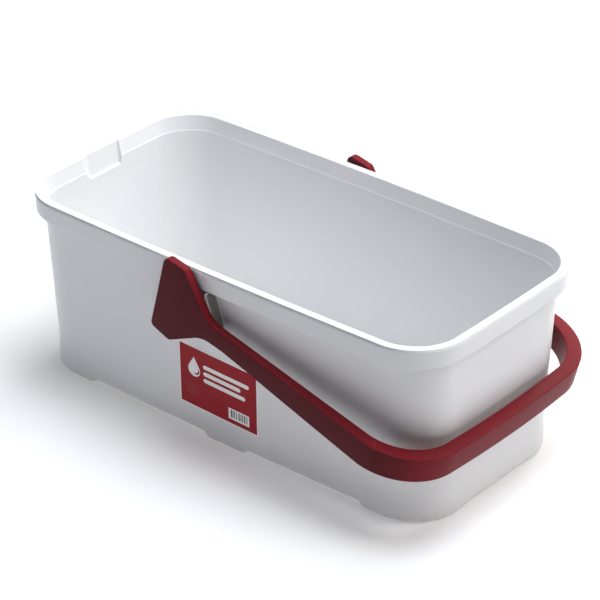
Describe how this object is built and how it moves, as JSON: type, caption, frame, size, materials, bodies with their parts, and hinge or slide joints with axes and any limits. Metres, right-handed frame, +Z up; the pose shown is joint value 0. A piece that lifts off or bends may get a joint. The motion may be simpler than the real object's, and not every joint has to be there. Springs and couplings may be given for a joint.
{
  "type": "flat-mop bucket",
  "caption": "Long rectangular mop bucket with a rolled rim and skirt, a bail handle that swings over it on two moulded studs, and a printed side label.",
  "frame": {"origin": "middle of the base, on the plane that the feet stand on", "axes": "+X along the length, towards the end where the lowered handle rests; +Z up; the label is on the -Y side"},
  "size_m": [0.5438, 0.3102, 0.2104],
  "materials": {
    "tub": "satin white injection-moulded polypropylene",
    "handle": "satin dark red injection-moulded polypropylene",
    "label": "printed film, semi-gloss"
  },
  "bodies": {
    "tub": {"tub": "tub", "label": "label"},
    "handle": {"handle": "handle"}
  },
  "joints": [
    {"name": "handle_swing", "type": "hinge", "parent": "tub", "child": "handle", "pos_m": [0, 0, 0.162], "axis": [0, -1, 0], "range_deg": [0, 213]}
  ]
}
